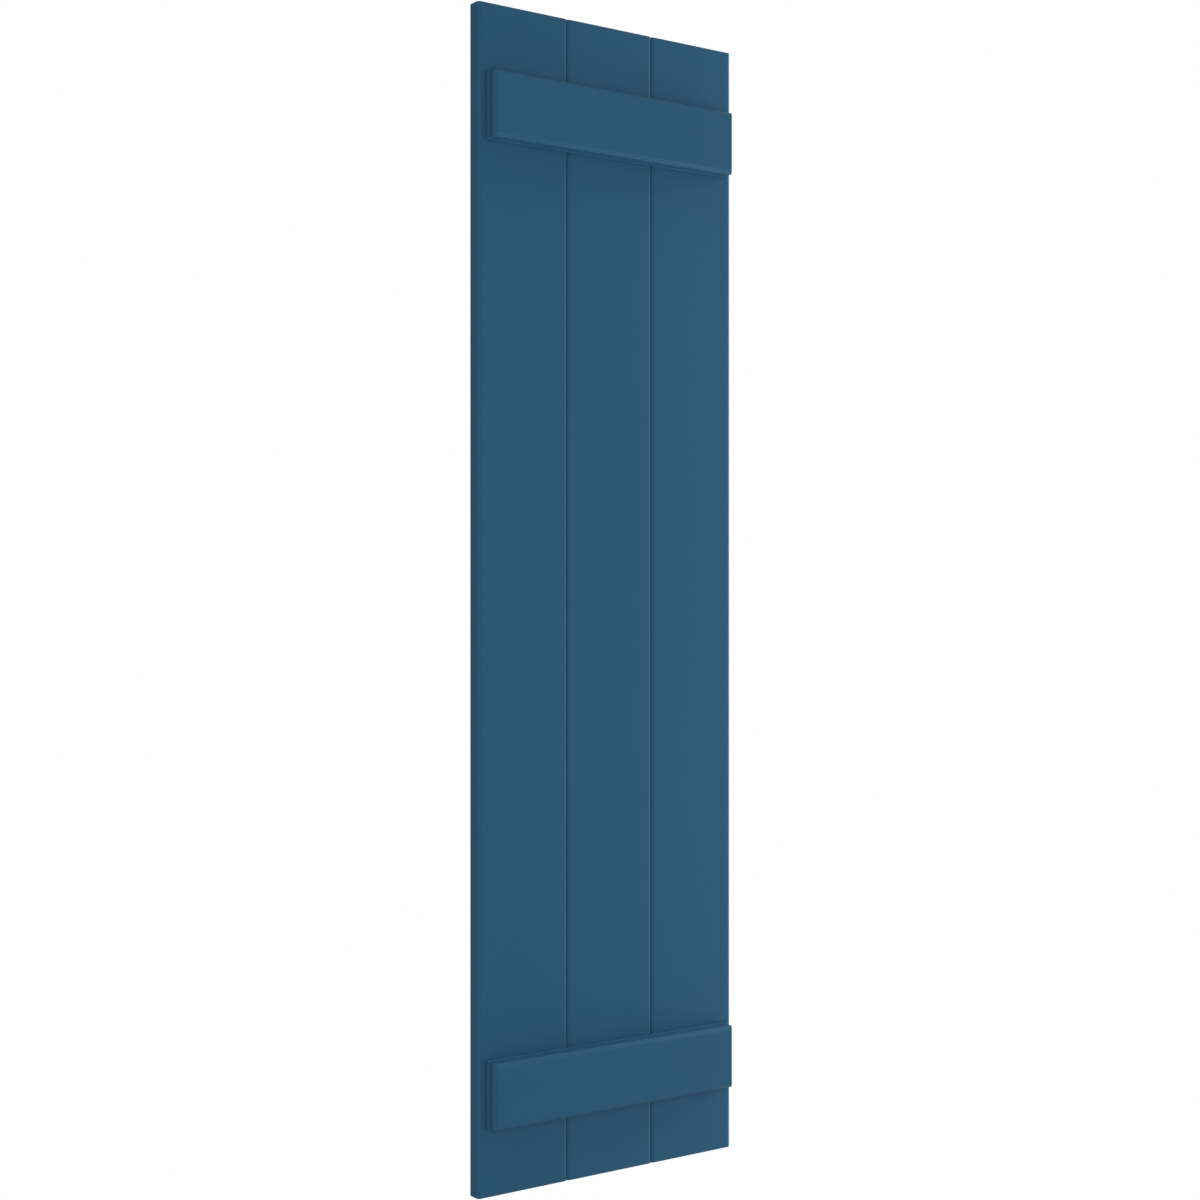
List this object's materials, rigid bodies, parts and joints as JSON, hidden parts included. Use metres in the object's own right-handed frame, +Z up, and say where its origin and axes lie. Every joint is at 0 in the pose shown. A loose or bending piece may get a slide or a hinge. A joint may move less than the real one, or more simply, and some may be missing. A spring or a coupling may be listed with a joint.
{
  "type": "board and batten shutter",
  "caption": "Tall exterior window shutter of vertical boards joined side by side, held by horizontal battens with moulded edges, for fixing flat to a wall.",
  "frame": {"origin": "middle of the back face, on the wall", "axes": "+Z up along the boards, +Y into the wall, the moulded front faces -Y, +X to the right seen from the front"},
  "size_m": [0.4096, 0.0428, 1.524],
  "materials": {
    "painted_boards": "smooth satin paint, grey blue",
    "painted_battens": "smooth satin paint, grey blue"
  },
  "bodies": {
    "root": {"board_left": "painted_boards", "board_centre": "painted_boards", "board_right": "painted_boards", "batten_top": "painted_battens", "batten_bottom": "painted_battens"}
  },
  "joints": []
}
